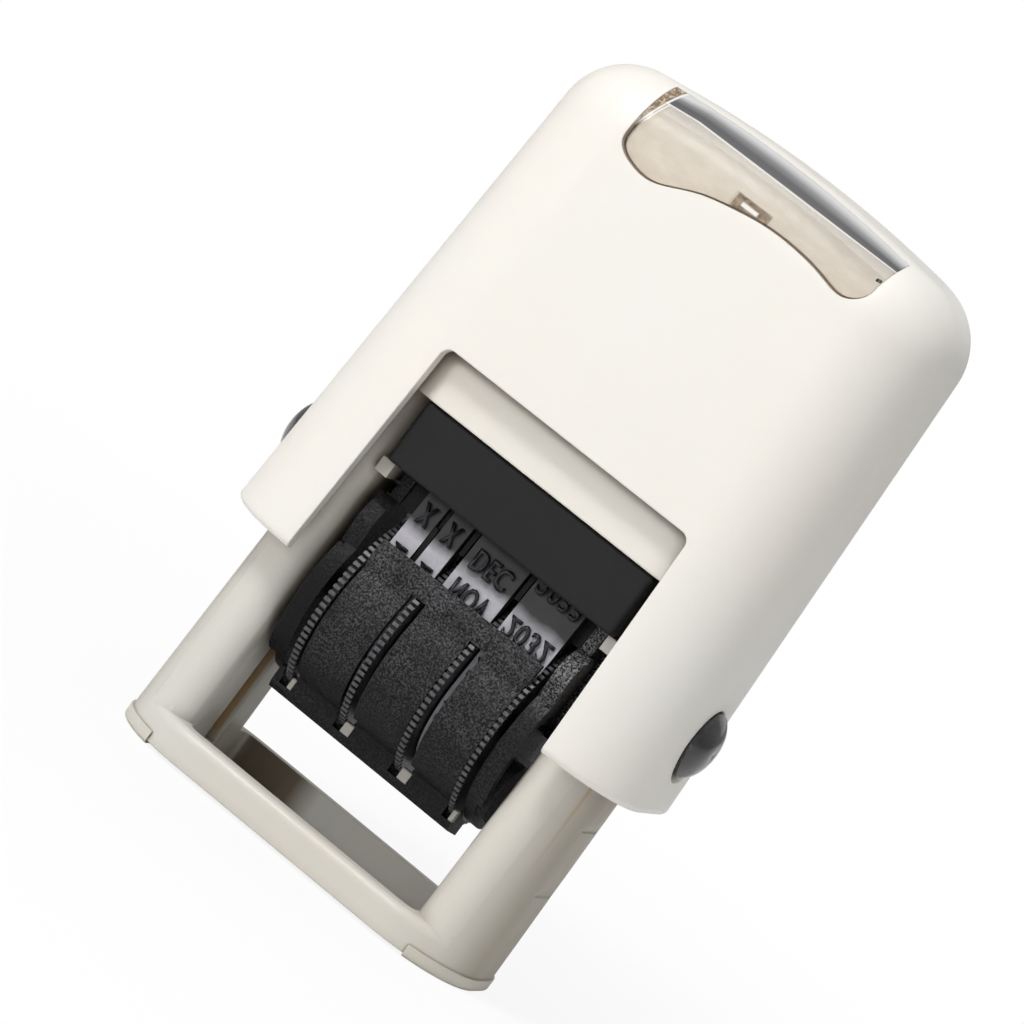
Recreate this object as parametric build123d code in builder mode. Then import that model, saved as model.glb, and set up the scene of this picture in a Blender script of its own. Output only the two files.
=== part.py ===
from build123d import *
from collections import namedtuple
import math
import os

# Mini self-inking date stamp, flip-over type, standing upright on its foot.
# Millimetres. +Z is up, the front (ink cartridge side) faces -Y, and the
# origin is the centre of the foot on the resting plane.

# ----------------------------------------------------------------- driving sizes
axle_z = 29.75                # flip axle of the type carrier, at rest
wheel_z = 20.7                # axis of the four thumbwheels, at rest
type_reach = 8.25             # flip axle to the printing surface
pad_z = axle_z + type_reach   # printing surface, just under the ink pad

# cap
cap_z0 = 22.3                                # bottom of the cap arms, at rest
cap_top = 76.8
cap_w0, cap_d0, cap_r0 = 47.6, 23.5, 8.6     # plan at cap_z0
cap_w1, cap_d1, cap_r1 = 42.5, 21.3, 8.2     # plan at cap_top
cap_edge = 6.8                               # radius of the top edge
cap_crown = 2.0                              # rise of the crowned top
cap_wall = 1.4
cap_core_z0 = cap_z0 - 3                     # cores run out below the cap

# slide yoke and main spring
yoke_plate_z, yoke_plate_t = 70.4, 1.6
yoke_top = yoke_plate_z + yoke_plate_t
spigot_x, spigot_r = 8.0, 1.5                # pressed joints between yoke and cap
spring_seat_z = 42.0                         # floor of the spring well

# frame
foot_w, foot_d, foot_r = 41.2, 20.2, 8.8
open_w = 27.0                 # width between the columns
col_in = open_w / 2           # inner face of a column
shoe_h = 1.25                 # height of the corner shoes
shoe_x = 15.4                 # inner edge of the corner shoes

# carrier
cheek_x0, cheek_x1 = 10.75, 11.95            # side cheeks, inner and outer face
cheek_t = cheek_x1 - cheek_x0
axle_d = 3.5
wheel_axle_d = 2.6
rim_r, rim_root = 9.85, 9.45                 # tip and root of the toothed rims
band_t = 0.95
type_relief = 0.5                            # height of the raised type on the bands
type_gap = 0.05
nose_half = 4.55                             # half depth of the band bridge at its top
nose_top = pad_z - type_relief - type_gap - band_t
nose_r = 1.2                                 # radius of the bridge's top corners

# buttons
button_z = 30.0
button_r = 3.5
button_hole_r = button_r + 0.1

# one lane per date band: X ranges of the band, its toothed rim, the rim's slot
# in the thumb guard, and the detent peg beside the rim
Lane = namedtuple("Lane", "name band_x0 band_x1 rim_x0 rim_x1 slot_x0 slot_x1 peg_x0 peg_x1")
lanes = [
    Lane("day_tens", -8.90, -6.50, -9.85, -9.15, -10.2, -8.95, -9.08, -8.62),
    Lane("day_units", -5.90, -3.55, -3.40, -2.75, -3.85, -2.15, -2.66, -1.70),
    Lane("month", -2.60, 3.05, 3.20, 3.80, 3.05, 4.8, 4.15, 5.20),
    Lane("year", 3.95, 9.60, 9.68, 10.20, 9.55, 10.65, 10.27, 10.70),
]

sides = ((1, "right"), (-1, "left"))         # sign of X, name
through = 30.0                               # reach of cutters that pass right through
half_through = 20.0                          # reach of cutters that pass one wall from Y = 0

os.makedirs("parts", exist_ok=True)


def save(part, name):
    """Label a piece and write its STEP file."""
    part.label = name
    export_step(part, f"parts/{name}.step")


def mirrored(x):
    """A pair of points on the X axis, on both sides of the centre."""
    return (x, 0), (-x, 0)


# ----------------------------------------------------------------- cap forms
opening_w0, opening_w1 = 30.24, 28.4         # width of the cap openings, bottom and top
front_opening_z = 45.3                       # tops of the openings
rear_opening_z = 49.8                        # the thumbwheels swing out through the rear one

# lower edge of the index window, left to right: (x, z) and its outward normal (x, z)
crescent_edge = [
    ((-12.75, 70.0), (-1, 0)),
    ((-12.35, 68.9), (-0.85, -0.5)),
    ((-10.9, 68.1), (-0.35, -0.93)),
    ((-8.4, 67.85), (0.15, -0.98)),
    ((-6.2, 68.65), (0.42, -0.9)),
    ((-3.95, 69.6), (0.3, -0.95)),
    ((-1.3, 70.25), (0.2, -0.98)),
    ((2.7, 70.85), (0.08, -1)),
    ((5.6, 70.85), (-0.05, -1)),
    ((9.6, 70.3), (-0.13, -1)),
    ((11.9, 70.05), (0.15, -0.98)),
    ((13.35, 71.0), (0.85, -0.5)),
    ((13.75, 72.5), (1, 0)),
]


def cap_solid(inset, bottom):
    """The cap's outer form, pulled in by an inset and carried down to a height."""
    slope = (bottom - cap_z0) / (cap_top - cap_z0)
    w_low = cap_w0 + (cap_w1 - cap_w0) * slope
    d_low = cap_d0 + (cap_d1 - cap_d0) * slope
    with BuildPart() as form:
        with BuildSketch(Plane.XY.offset(bottom)):
            RectangleRounded(w_low - 2 * inset, d_low - 2 * inset, cap_r0 - inset)
        with BuildSketch(Plane.XY.offset(cap_top + 0.01)):
            RectangleRounded(cap_w1 - 2 * inset, cap_d1 - 2 * inset, cap_r1 - inset)
        loft()
        # crowned top
        peak = cap_top - inset
        half = 30.0
        crown_end = peak - cap_crown * (half / (cap_w1 / 2)) ** 2
        with BuildSketch(Plane.XZ):
            with BuildLine():
                ThreePointArc((-half, crown_end), (0, peak), (half, crown_end))
                Polyline((half, crown_end), (half, cap_top + 5),
                         (-half, cap_top + 5), (-half, crown_end))
            make_face()
        extrude(amount=through, both=True, mode=Mode.SUBTRACT)
        upward = form.faces().filter_by(lambda face: face.normal_at().Z > 0.9)
        fillet(upward.sort_by(Axis.Z)[-1].edges(), radius=cap_edge - inset)
    return form.part


def opening_prism(height, side):
    """Prism of a cap opening; side is -1 for the front and +1 for the rear."""
    bottom = cap_z0 - 4
    with BuildPart() as prism:
        with BuildSketch(Plane.XZ) as outline:
            with BuildLine():
                Polyline((-opening_w0 / 2, bottom), (opening_w0 / 2, bottom),
                         (opening_w1 / 2, height), (-opening_w1 / 2, height),
                         (-opening_w0 / 2, bottom))
            make_face()
            fillet(outline.vertices().group_by(Axis.Y)[-1], radius=1.0)
        extrude(amount=-half_through * side)
    return prism.part


def crescent_prism(grow):
    """Prism of the index window's outline, grown all round.

    Its back plane lies within the rounding of the cap's front top edge.
    """
    low = [(point[0] + normal[0] * grow, point[1] + normal[1] * grow)
           for point, normal in crescent_edge]
    with BuildPart() as prism:
        with BuildSketch(Plane.XZ.offset(6.3 - grow)):
            with BuildLine():
                Spline(*low)
                Polyline(low[-1], (13.95 + grow, 75.0), (14.1 + grow, 78.5),
                         (-12.9 - grow, 78.5), (-12.75 - grow, 75.0), low[0])
            make_face()
        extrude(amount=16)
    return prism.part


def crescent_layer(outer_inset, inner_inset, grow):
    """The layer between two insets of the cap form, within the window's outline."""
    with BuildPart() as layer:
        add(cap_solid(outer_inset, cap_z0))
        add(cap_solid(inner_inset, cap_core_z0), mode=Mode.SUBTRACT)
        add(crescent_prism(grow), mode=Mode.INTERSECT)
    return layer.part


# ----------------------------------------------------------------- cap shell
boss_r, boss_h = 3.0, 3.9
spigot_hole_h = 1.6
countersink_x = 23.05
window_backing = crescent_layer(0.6, 2.0, 1.0)
window_recess = crescent_layer(-0.5, 1.15, 0.06)

with BuildPart() as cap_shell:
    add(cap_solid(0, cap_z0))
    fillet(cap_shell.faces().sort_by(Axis.Z)[0].edges(), radius=0.7)
    add(cap_solid(cap_wall, cap_core_z0), mode=Mode.SUBTRACT)
    # roof bosses that the slide yoke is pressed into
    with BuildSketch(Plane.XY.offset(yoke_top)):
        with Locations(*mirrored(spigot_x)):
            Circle(boss_r)
    extrude(amount=boss_h)
    with BuildSketch(Plane.XY.offset(yoke_top)):
        with Locations(*mirrored(spigot_x)):
            Circle(spigot_r)
    extrude(amount=spigot_hole_h, mode=Mode.SUBTRACT)
    # thicker wall behind the index window, then its recess
    add(window_backing)
    add(window_recess, mode=Mode.SUBTRACT)
    # front and rear openings
    add(opening_prism(front_opening_z, -1), mode=Mode.SUBTRACT)
    add(opening_prism(rear_opening_z, 1), mode=Mode.SUBTRACT)
    # holes for the lock buttons
    with BuildSketch(Plane.YZ):
        with Locations((0, button_z)):
            Circle(button_hole_r)
    extrude(amount=through, both=True, mode=Mode.SUBTRACT)
    # countersunk rims of the button holes
    for side, _ in sides:
        with BuildSketch(Plane.YZ.offset(side * countersink_x)):
            with Locations((0, button_z)):
                Circle(button_hole_r)
        extrude(amount=side * 1.0, taper=-38, mode=Mode.SUBTRACT)
save(cap_shell.part, "cap_shell")

# ----------------------------------------------------------------- index window and card
with BuildPart() as index_window:
    add(crescent_layer(0, 0.75, 0))
    # pry notch in the lower edge
    with BuildSketch(Plane.XZ):
        with Locations((0.5, 70.95)):
            Rectangle(3.7, 1.7)
    extrude(amount=half_through, mode=Mode.SUBTRACT)
save(index_window.part, "index_window")

# the card behind the window
save(crescent_layer(0.8, 1.1, -0.15), "index_card")

# ----------------------------------------------------------------- slide yoke
leg_x0, leg_x1 = 15.35, 18.3                 # inner and outer face of a leg
leg_z0, leg_h = 26.6, 45                     # the legs end inside the plate
yoke_d = 9.0

with BuildPart() as slide_yoke:
    # top plate
    with BuildSketch(Plane.XY.offset(yoke_plate_z)):
        RectangleRounded(2 * leg_x1, yoke_d, 1.5)
    extrude(amount=yoke_plate_t)
    # legs
    with BuildSketch(Plane.XY.offset(leg_z0)):
        with Locations(*mirrored((leg_x0 + leg_x1) / 2)):
            RectangleRounded(leg_x1 - leg_x0, yoke_d, 0.8)
    extrude(amount=leg_h)
    # pressed spigots on top, spring spigot below
    with BuildSketch(Plane.XY.offset(yoke_top)):
        with Locations(*mirrored(spigot_x)):
            Circle(spigot_r)
    extrude(amount=1.4)
    with BuildSketch(Plane.XY.offset(yoke_plate_z)):
        Circle(3.6)
    extrude(amount=-2.6)
    # holes for the flip axle
    with BuildSketch(Plane.YZ):
        with Locations((0, axle_z)):
            Circle(axle_d / 2 + 0.04)
    extrude(amount=through, both=True, mode=Mode.SUBTRACT)
save(slide_yoke.part, "slide_yoke")

# ----------------------------------------------------------------- base frame
frame_top = 46.5
draft = 1.18                                 # degrees
sill_z = 3.6                                 # top of the foot bars
lintel_z = 40.4                              # underside of the top block
foot_open_d = 16.0                           # front-to-back opening of the foot ring
bar_lift = 0.3                               # the bars clear the table by this much
wall_in, wall_out = 15.0, 19.1               # inner and outer face of a leg cavity
cavity_d = 9.7
slot_w = 3.7                                 # slot that the axle slides in
slot_z0, slot_z1 = 6.3, 31.6                 # its round-ended part
slot_foot, slot_foot_top = 2.0, 12.0         # its square foot runs down past the sill
well_r = 6.6
rail_z, rail_w, rail_d, rail_h = 32.2, 1.4, 15.0, 1.5
lock_notches = ((10.5, 20.42), (17.7, 20.27))    # height, column's outer face there
notch_half_d = 4.4

with BuildPart() as base_frame:
    with BuildSketch(Plane.XY):
        RectangleRounded(foot_w, foot_d, foot_r)
    extrude(amount=frame_top, taper=draft)
    # rounded top edge
    fillet(base_frame.faces().sort_by(Axis.Z)[-1].edges(), radius=3.0)
    # opening between the columns, front to back
    with BuildSketch(Plane.XZ):
        with Locations((0, (sill_z + lintel_z) / 2)):
            Rectangle(open_w, lintel_z - sill_z)
    extrude(amount=through, both=True, mode=Mode.SUBTRACT)
    # soft inner edges of the columns
    fillet(base_frame.edges().filter_by(lambda edge: abs(abs(edge.center().X) - col_in) < 0.05
                                        and 15 < edge.center().Z < 30
                                        and abs(edge.center().Y) > 8), radius=2.6)
    # the foot is a ring
    with BuildSketch(Plane.XY):
        RectangleRounded(open_w, foot_open_d, 1.2)
    extrude(amount=sill_z + 1, mode=Mode.SUBTRACT)
    # bars stand clear of the table, corners sit in the shoes
    with BuildSketch(Plane.XY):
        Rectangle(2 * shoe_x, 30)
    extrude(amount=bar_lift, mode=Mode.SUBTRACT)
    with BuildSketch(Plane.XY):
        with Locations(*mirrored(shoe_x + 10)):
            Rectangle(20, 30)
    extrude(amount=shoe_h, mode=Mode.SUBTRACT)
    # cavities that the yoke legs run in, open at the top
    with BuildSketch(Plane.XY.offset(sill_z)):
        with Locations(*mirrored((wall_in + wall_out) / 2)):
            RectangleRounded(wall_out - wall_in, cavity_d, 1.0)
    extrude(amount=frame_top, mode=Mode.SUBTRACT)
    # slots in the inner walls for the axle
    with BuildSketch(Plane.YZ):
        with Locations((0, (slot_z0 + slot_z1) / 2)):
            SlotOverall(slot_z1 - slot_z0, slot_w, rotation=90)
        with Locations((0, (slot_foot + slot_foot_top) / 2)):
            Rectangle(slot_w, slot_foot_top - slot_foot)
    extrude(amount=wall_in + 0.5, both=True, mode=Mode.SUBTRACT)
    # spring well in the top block, with a centring post
    with BuildSketch(Plane.XY.offset(spring_seat_z)):
        Circle(well_r)
    extrude(amount=10, mode=Mode.SUBTRACT)
    with BuildSketch(Plane.XY.offset(spring_seat_z)):
        Circle(3.2)
    extrude(amount=2.5)
    # rails that carry the ink cartridge
    with BuildSketch(Plane.XY.offset(rail_z)):
        with Locations(*mirrored(col_in - 0.2)):
            Rectangle(rail_w, rail_d)
    extrude(amount=rail_h)
    # lock notches on the outside of the columns
    for side, _ in sides:
        for notch_z, skin_x in lock_notches:
            outer_x = side * (skin_x + 0.3)
            floor_x = side * (skin_x - 0.16)
            with BuildSketch(Plane.XZ):
                with BuildLine():
                    Polyline((outer_x, notch_z + 2.6), (floor_x, notch_z + 0.2),
                             (floor_x, notch_z), (outer_x, notch_z - 0.25),
                             (outer_x, notch_z + 2.6))
                make_face()
            extrude(amount=notch_half_d, both=True, mode=Mode.SUBTRACT)
    # rounded outer lips of the bars
    fillet(base_frame.edges().filter_by(lambda edge: abs(edge.center().Z - sill_z) < 0.05
                                        and abs(edge.center().X) < 1
                                        and abs(edge.center().Y) > 9), radius=0.9)
save(base_frame.part, "base_frame")

# ----------------------------------------------------------------- corner shoes
shoe_grow = 0.3                              # the shoes are this much larger than the foot
shoe_gap = 0.03

for side, side_name in sides:
    with BuildPart() as shoe:
        with BuildSketch(Plane.XY):
            RectangleRounded(foot_w + shoe_grow, foot_d + shoe_grow, foot_r)
        extrude(amount=shoe_h)
        # keep only the end beyond shoe_x
        with BuildSketch(Plane.XY):
            with Locations((side * (shoe_x + shoe_gap - 20), 0)):
                Rectangle(40, 30)
        extrude(amount=shoe_h, mode=Mode.SUBTRACT)
        bottom_edges = shoe.faces().sort_by(Axis.Z)[0].edges()
        fillet(bottom_edges.filter_by(lambda edge: abs(edge.center().X) > shoe_x + 1),
               radius=0.35)
    save(shoe.part, f"{side_name}_foot_shoe")

# ----------------------------------------------------------------- main spring
wire = 0.8
coil_r = 4.9
coil_turns = 6.5
coil_z0 = spring_seat_z + wire / 2
coil_h = yoke_plate_z - spring_seat_z - wire

with BuildPart() as main_spring:
    with BuildLine():
        Helix(pitch=coil_h / coil_turns, height=coil_h, radius=coil_r, center=(0, 0, coil_z0))
    with BuildSketch(Plane(origin=(coil_r, 0, coil_z0), x_dir=(1, 0, 0), z_dir=(0, 1, 0))):
        Circle(wire / 2 - 0.02)
    sweep(is_frenet=True)
save(main_spring.part, "main_spring")

# ----------------------------------------------------------------- ink cartridge
tray_x, tray_y = 13.3, 9.0                   # half width and half depth
tray_z0, tray_z1 = 33.8, 40.3
tray_in_x = 12.25                            # half width of the hollow
tray_roof_z = 39.5
tray_front_t = 1.1
tray_rim_z, tray_rim_t = 38.15, 1.0

with BuildPart() as pad_tray:
    with BuildSketch(Plane.XY.offset(tray_z0)):
        RectangleRounded(2 * tray_x, 2 * tray_y, 0.6)
    extrude(amount=tray_z1 - tray_z0)
    fillet(pad_tray.faces().sort_by(Axis.Y)[0].edges(), radius=0.35)
    # hollow below the roof, open at the rear
    with BuildSketch(Plane.XY.offset(tray_z0)):
        with Locations((0, tray_front_t + 5)):
            Rectangle(2 * tray_in_x, 2 * tray_y + 10)
    extrude(amount=tray_roof_z - tray_z0, mode=Mode.SUBTRACT)
    # low rear rim that keeps the pad in
    with BuildSketch(Plane.XY.offset(tray_rim_z)):
        with Locations((0, tray_y - tray_rim_t / 2)):
            Rectangle(24.6, tray_rim_t)
    extrude(amount=1.4)
save(pad_tray.part, "pad_tray")

pad_w, pad_d = 24.0, 15.6
pad_z0 = pad_z + 0.06
pad_z1 = tray_roof_z - 0.02

with BuildPart() as ink_pad:
    with BuildSketch(Plane.XY.offset(pad_z0)):
        RectangleRounded(pad_w, pad_d, 0.8)
    extrude(amount=pad_z1 - pad_z0)
save(ink_pad.part, "ink_pad")

# ----------------------------------------------------------------- carrier cheeks
cheek_r = 9.0
cheek_top = nose_top - 0.4
rib_w = 1.1                                  # width of the curved rib
rib_start, rib_sweep = 150, 75               # degrees from +Y towards +Z

# outlines in (y, z)
cheek_neck = [(-8.2, wheel_z + 2.0), (-5.6, 29.0), (-5.2, cheek_top), (5.2, cheek_top),
              (5.6, 29.0), (8.2, wheel_z + 2.0), (-8.2, wheel_z + 2.0)]
cam_lobe = [(-2.3, axle_z), (-3.6, axle_z - 5.2), (-1.6, axle_z - 7.6), (1.6, axle_z - 7.6),
            (3.6, axle_z - 5.2), (2.3, axle_z), (-2.3, axle_z)]
rib_lobe = [(-7.3, 23.6), (-8.1, 28.2), (-7.5, 29.9), (-5.9, 30.9), (-4.6, 30.4),
            (-4.6, 23.6), (-7.3, 23.6)]

for side, side_name in sides:
    inner_face = Plane.YZ.offset(side * cheek_x0)
    outer_face = Plane.YZ.offset(side * cheek_x1)
    with BuildPart() as cheek:
        with BuildSketch(inner_face) as outline:
            with Locations((0, wheel_z)):
                Circle(cheek_r)
            with BuildLine():
                Polyline(*cheek_neck)
            make_face()
            fillet(outline.vertices().group_by(Axis.Y)[-1], radius=1.6)
        extrude(amount=side * cheek_t)
        # raised boss and cam lobe around the axle
        with BuildSketch(outer_face):
            with Locations((0, axle_z)):
                Circle(2.4)
            with BuildLine():
                Polyline(*cam_lobe)
            make_face()
        extrude(amount=side * 0.9)
        # cam peg that follows the flip track
        with BuildSketch(outer_face):
            with Locations((0, axle_z - 5.6)):
                Circle(0.9)
        extrude(amount=side * 1.35)
        # curved rib down the front edge, ending in a lobe at the top
        with BuildSketch(outer_face):
            with BuildLine():
                rib_out = CenterArc((0, wheel_z), cheek_r, rib_start, rib_sweep)
                rib_in = CenterArc((0, wheel_z), cheek_r - rib_w, rib_start, rib_sweep)
                Line(rib_out @ 0, rib_in @ 0)
                Line(rib_out @ 1, rib_in @ 1)
            make_face()
        extrude(amount=side * 0.55)
        with BuildSketch(inner_face):
            with BuildLine():
                Polyline(*rib_lobe)
            make_face()
        extrude(amount=side * (cheek_t + 0.5))
        # lower lobe that rides close to the column
        with BuildSketch(outer_face):
            with Locations((-3.4, wheel_z - 4.6)):
                Circle(3.1)
        extrude(amount=side * 0.95)
        # seats of the two axles
        with BuildSketch(Plane.YZ):
            with Locations((0, axle_z)):
                Circle(axle_d / 2)
            with Locations((0, wheel_z)):
                Circle(wheel_axle_d / 2)
        extrude(amount=through, both=True, mode=Mode.SUBTRACT)
    save(cheek.part, f"{side_name}_cheek")

# ----------------------------------------------------------------- thumb guard
guard_r, guard_t = 9.5, 0.65
guard_x0, guard_x1 = -9.05, 9.7
guard_start, guard_sweep = 156, 96           # degrees from +Y towards +Z
flange_half_w = cheek_x0 - 0.03
flange = [(-5.2, 12.75), (-5.05, 11.0), (-4.6, 10.45), (-1.2, 10.0), (-1.2, 11.4),
          (-2.8, 12.0), (-4.6, 13.0), (-5.2, 12.75)]    # (y, z)
slot_top = 27.0                              # the rim slots stop at this height

with BuildPart() as front_guard:
    # curved wall in front of the wheels, running up into a crest
    with BuildSketch(Plane.YZ.offset(guard_x0)):
        with BuildLine():
            outer = CenterArc((0, wheel_z), guard_r, guard_start, guard_sweep)
            inner = CenterArc((0, wheel_z), guard_r - guard_t, guard_start, guard_sweep)
            crest = Spline(outer @ 0, (-8.75, 26.1), (-8.35, 28.0),
                           tangents=[(0.407, 0.914), (0.25, 1)])
            back = Spline(inner @ 0, (-8.15, 26.0), (-7.75, 27.9),
                          tangents=[(0.407, 0.914), (0.25, 1)])
            Line(crest @ 1, back @ 1)
            Line(outer @ 1, inner @ 1)
        make_face()
    extrude(amount=guard_x1 - guard_x0)
    # lower flange across the full width
    with BuildSketch(Plane.YZ.offset(-flange_half_w)):
        with BuildLine():
            Polyline(*flange)
        make_face()
    extrude(amount=2 * flange_half_w)
    for lane in lanes:
        # slot for the toothed rim
        with BuildSketch(Plane.YZ.offset(lane.slot_x0)):
            with Locations((0, wheel_z)):
                Circle(rim_r + 0.15)
            with Locations((0, slot_top + 10)):
                Rectangle(40, 20, mode=Mode.SUBTRACT)
        extrude(amount=lane.slot_x1 - lane.slot_x0, mode=Mode.SUBTRACT)
        # pocket for the detent peg beside the rim
        pocket_x0 = lane.rim_x0 - 0.15
        with BuildSketch(Plane.YZ.offset(pocket_x0)):
            with Locations((-5.2, 12.25)):
                Rectangle(2.0, 1.9)
        extrude(amount=lane.peg_x1 + 0.03 - pocket_x0, mode=Mode.SUBTRACT)
save(front_guard.part, "front_guard")

# ----------------------------------------------------------------- detent pegs
# light pegs that click against the toothed rims
peg_y, peg_z = -4.7, 11.93
peg_d, peg_h = 0.92, 1.2

with BuildPart() as detent_pegs:
    for lane in lanes:
        with BuildSketch(Plane.YZ.offset(lane.peg_x0)):
            with Locations((peg_y, peg_z)):
                RectangleRounded(peg_d, peg_h, 0.2)
        extrude(amount=lane.peg_x1 - lane.peg_x0)
save(detent_pegs.part, "detent_pegs")

# ----------------------------------------------------------------- band bridge
# the bands run over it; ribs keep neighbouring bands apart
bridge_z = wheel_z + rim_r + 0.2
bridge_foot = nose_half + 0.75               # half depth of the bridge at its bottom
bridge_half_w = cheek_x0 - 0.02
divider_top = nose_top + 0.5
dividers = ((-6.2, 0.4), (-3.08, 0.5), (3.5, 0.5))    # centre X, thickness
finger_y, finger_z = 6.1, 28.4

with BuildPart() as band_bridge:
    with BuildSketch(Plane.YZ.offset(-bridge_half_w)) as nose:
        with BuildLine():
            Polyline((-bridge_foot, bridge_z), (-nose_half, nose_top), (nose_half, nose_top),
                     (bridge_foot, bridge_z), (-bridge_foot, bridge_z))
        make_face()
        fillet(nose.vertices().group_by(Axis.Y)[-1], radius=nose_r)
    extrude(amount=2 * bridge_half_w)
    for divider_x, divider_t in dividers:
        with BuildSketch(Plane.YZ.offset(divider_x - divider_t / 2)) as rib:
            with BuildLine():
                Polyline((-6.15, bridge_z), (-5.3, divider_top), (5.3, divider_top),
                         (6.15, bridge_z), (-6.15, bridge_z))
            make_face()
            fillet(rib.vertices().group_by(Axis.Y)[-1], radius=nose_r)
        extrude(amount=divider_t)
    # longer fingers between the two narrow bands
    finger_x, finger_t = dividers[0]
    with BuildSketch(Plane.YZ.offset(finger_x - finger_t / 2)):
        with Locations((-finger_y, finger_z), (finger_y, finger_z)):
            Rectangle(1.0, 6.0)
    extrude(amount=finger_t)
save(band_bridge.part, "band_bridge")

# ----------------------------------------------------------------- axles
pin_length = 8.15

for side, side_name in sides:
    with BuildPart() as axle_pin:
        with BuildSketch(Plane.YZ.offset(side * (cheek_x0 + 0.02))):
            with Locations((0, axle_z)):
                Circle(axle_d / 2)
        extrude(amount=side * pin_length)
        chamfer(axle_pin.edges().filter_by(GeomType.CIRCLE), length=0.3)
    save(axle_pin.part, f"{side_name}_axle_pin")

with BuildPart() as wheel_axle:
    with BuildSketch(Plane.YZ.offset(-cheek_x1)):
        with Locations((0, wheel_z)):
            Circle(wheel_axle_d / 2)
    extrude(amount=2 * cheek_x1)
save(wheel_axle.part, "wheel_axle")

# ----------------------------------------------------------------- thumbwheels
# each has a hub under the band and a toothed rim beside it
hub_r = 6.75
rim_teeth = 90
tooth_l, tooth_w = 1.0, 0.36                 # radial length, part of it below the root

for lane in lanes:
    hub_x0 = min(lane.band_x0, lane.rim_x0)
    hub_w = max(lane.band_x1, lane.rim_x1) - hub_x0
    with BuildPart() as wheel:
        with BuildSketch(Plane.YZ.offset(hub_x0)):
            with Locations((0, wheel_z)):
                Circle(hub_r)
        extrude(amount=hub_w)
        with BuildSketch(Plane.YZ.offset(lane.rim_x0)):
            with Locations((0, wheel_z)):
                Circle(rim_root)
            with Locations((0, wheel_z)):
                with PolarLocations(rim_r - tooth_l / 2, rim_teeth):
                    Rectangle(tooth_l, tooth_w)
        extrude(amount=lane.rim_x1 - lane.rim_x0)
        with BuildSketch(Plane.YZ.offset(hub_x0)):
            with Locations((0, wheel_z)):
                Circle(wheel_axle_d / 2 + 0.05)
        extrude(amount=hub_w, mode=Mode.SUBTRACT)
    save(wheel.part, f"{lane.name}_wheel")

# ----------------------------------------------------------------- date bands
# closed rubber loops round a hub and over the bridge
band_r = hub_r + 0.1                         # inner radius round the hub
band_half = nose_half + 0.05                 # inner half depth at the bridge
band_top = nose_top + 0.02                   # inner height over the bridge

for lane in lanes:
    with BuildPart() as band:
        for grow, mode in ((band_t, Mode.ADD), (0.0, Mode.SUBTRACT)):
            radius = band_r + grow
            half = band_half + grow
            top = band_top + grow
            # straight sides run from the hub to the bridge's top corners
            lean = math.asin((radius - half) / (top - nose_r - wheel_z))
            leave_y = radius * math.cos(lean)
            leave_z = wheel_z + radius * math.sin(lean)
            with BuildSketch(Plane.YZ.offset(lane.band_x0)) as loop:
                with BuildLine():
                    Line((half, top), (-half, top))
                    Line((-half, top), (-leave_y, leave_z))
                    ThreePointArc((-leave_y, leave_z), (0, wheel_z - radius),
                                  (leave_y, leave_z))
                    Line((leave_y, leave_z), (half, top))
                make_face()
                fillet(loop.vertices().group_by(Axis.Y)[-1], radius=nose_r + grow)
            extrude(amount=lane.band_x1 - lane.band_x0, mode=mode)
    save(band.part, f"{lane.name}_band")

# ----------------------------------------------------------------- lock buttons
stem_x = 21.75                               # inner end of the stem
flange_x, flange_t = 21.35, 0.42
head_x = 23.75                               # where the dome starts
dome_h = 1.2

for side, side_name in sides:
    with BuildPart() as button:
        # stem through the cap wall and the flange that holds it from inside
        with BuildSketch(Plane.YZ.offset(side * stem_x)):
            with Locations((0, button_z)):
                Circle(button_r)
        extrude(amount=side * (head_x - stem_x))
        with BuildSketch(Plane.YZ.offset(side * flange_x)):
            with Locations((0, button_z)):
                Circle(button_r + 0.9)
        extrude(amount=side * flange_t)
        # domed head
        centre = (side * head_x, button_z)
        rim = (side * head_x, button_z + button_r)
        shoulder = (side * (head_x + dome_h * 0.80), button_z + button_r * 0.62)
        tip = (side * (head_x + dome_h), button_z)
        with BuildSketch(Plane.XZ):
            with BuildLine():
                Polyline(centre, rim)
                ThreePointArc(rim, shoulder, tip)
                Line(tip, centre)
            make_face()
        revolve(axis=Axis((0, 0, button_z), (1, 0, 0)))
    save(button.part, f"{side_name}_button")
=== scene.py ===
"""A self-inking date stamp, standing on its foot frame.

This script gives them their materials, adds the raised type on the four date bands, and sets up
the floor, world, lights and camera. X runs to the right, -Y is the front, Z is up, and the foot
stands at Z = 0. Sizes named mm, and all sizes of the type, are millimetres; places in materials
are metres.
"""

import math
from bisect import bisect_right
from itertools import accumulate

import bmesh
import bpy
from mathutils import Matrix, Vector

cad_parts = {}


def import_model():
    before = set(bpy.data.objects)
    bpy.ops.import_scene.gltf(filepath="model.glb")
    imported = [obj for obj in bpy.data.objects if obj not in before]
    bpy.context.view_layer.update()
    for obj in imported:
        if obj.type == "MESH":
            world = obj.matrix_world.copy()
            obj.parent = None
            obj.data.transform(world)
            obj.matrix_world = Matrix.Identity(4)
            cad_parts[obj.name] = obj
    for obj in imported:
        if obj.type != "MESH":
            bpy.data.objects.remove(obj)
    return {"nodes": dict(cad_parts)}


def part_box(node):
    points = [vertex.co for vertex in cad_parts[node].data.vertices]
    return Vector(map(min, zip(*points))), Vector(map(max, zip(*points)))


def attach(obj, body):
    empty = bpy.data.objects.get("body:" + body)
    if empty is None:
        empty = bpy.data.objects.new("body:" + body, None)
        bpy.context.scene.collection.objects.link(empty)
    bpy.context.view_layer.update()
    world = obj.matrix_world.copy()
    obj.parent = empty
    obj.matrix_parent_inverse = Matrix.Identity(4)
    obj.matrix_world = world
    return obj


MM = 0.001

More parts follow.
